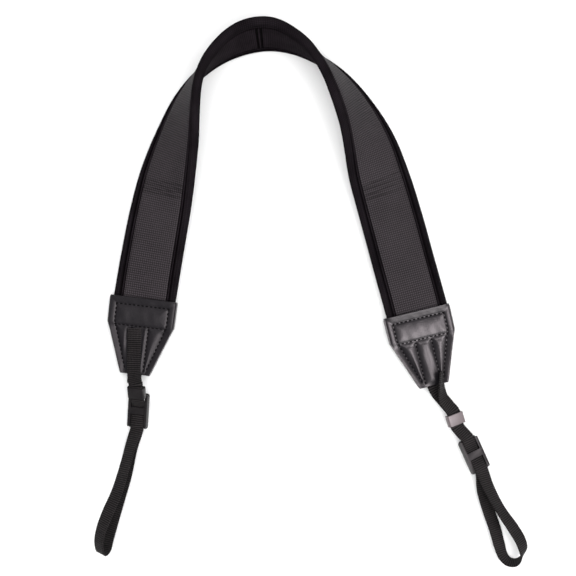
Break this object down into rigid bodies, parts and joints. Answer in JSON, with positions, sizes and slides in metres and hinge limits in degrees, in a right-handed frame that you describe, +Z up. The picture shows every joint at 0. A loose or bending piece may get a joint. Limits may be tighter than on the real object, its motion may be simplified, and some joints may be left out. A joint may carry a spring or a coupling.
{
  "type": "camera neck strap",
  "caption": "Padded camera neck strap lying in a U, with a grey woven face, bound edges, leather end caps and adjustable webbing loops for a camera's strap lugs.",
  "frame": {"origin": "middle of the footprint, on the surface that the strap lies on", "axes": "+X across the U to the right-hand end, +Y from the camera loops to the arch, +Z up"},
  "size_m": [0.3101, 0.3901, 0.0446],
  "materials": {
    "black_cloth": "matte",
    "grey_weave": "matte",
    "black_leather": "satin",
    "black_webbing": "matte",
    "black_plastic": "satin"
  },
  "bodies": {
    "root": {"pad_body": "black_cloth", "face_panel": "grey_weave", "binding_outer": "black_cloth", "binding_inner": "black_cloth", "left_cap_front": "black_leather", "left_cap_back": "black_leather", "right_cap_front": "black_leather", "right_cap_back": "black_leather", "left_webbing": "black_webbing", "right_webbing": "black_webbing", "left_keeper": "black_plastic", "right_keeper": "black_plastic", "left_slider": "black_plastic", "right_slider": "black_plastic"}
  },
  "joints": []
}
